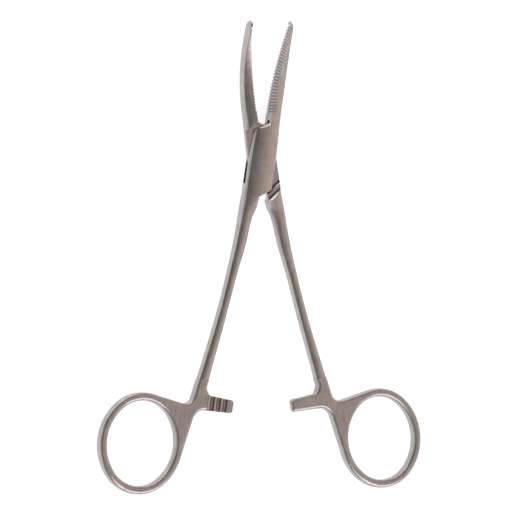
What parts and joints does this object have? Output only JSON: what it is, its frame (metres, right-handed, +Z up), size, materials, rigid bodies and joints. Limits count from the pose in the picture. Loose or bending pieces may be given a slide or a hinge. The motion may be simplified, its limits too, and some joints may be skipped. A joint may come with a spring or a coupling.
{
  "type": "hemostat forceps",
  "caption": "Curved steel clamping forceps with serrated jaws, a box lock, finger rings and a ratchet, for clamping vessels or tissue.",
  "frame": {"origin": "on the lock pin's axis, at the back of the box lock that the forceps lie on", "axes": "+Z up along the lock pin, out of the front; +Y from the pin to the jaw tips, halfway between the jaws; +X to the right as seen from the front"},
  "size_m": [0.0996, 0.1319, 0.0097],
  "materials": {
    "satin_steel": "satin, finely brushed along the length",
    "pin_steel": "ground flush with the box and satin"
  },
  "bodies": {
    "box_side": {"box_half": "satin_steel", "lock_pin": "pin_steel"},
    "tongue_side": {"tongue_half": "satin_steel"}
  },
  "joints": [
    {"name": "box_lock", "type": "hinge", "parent": "box_side", "child": "tongue_side", "pos_m": [0, 0, 0.00233], "axis": [0, 0, 1], "range_deg": [-18, 20]}
  ]
}
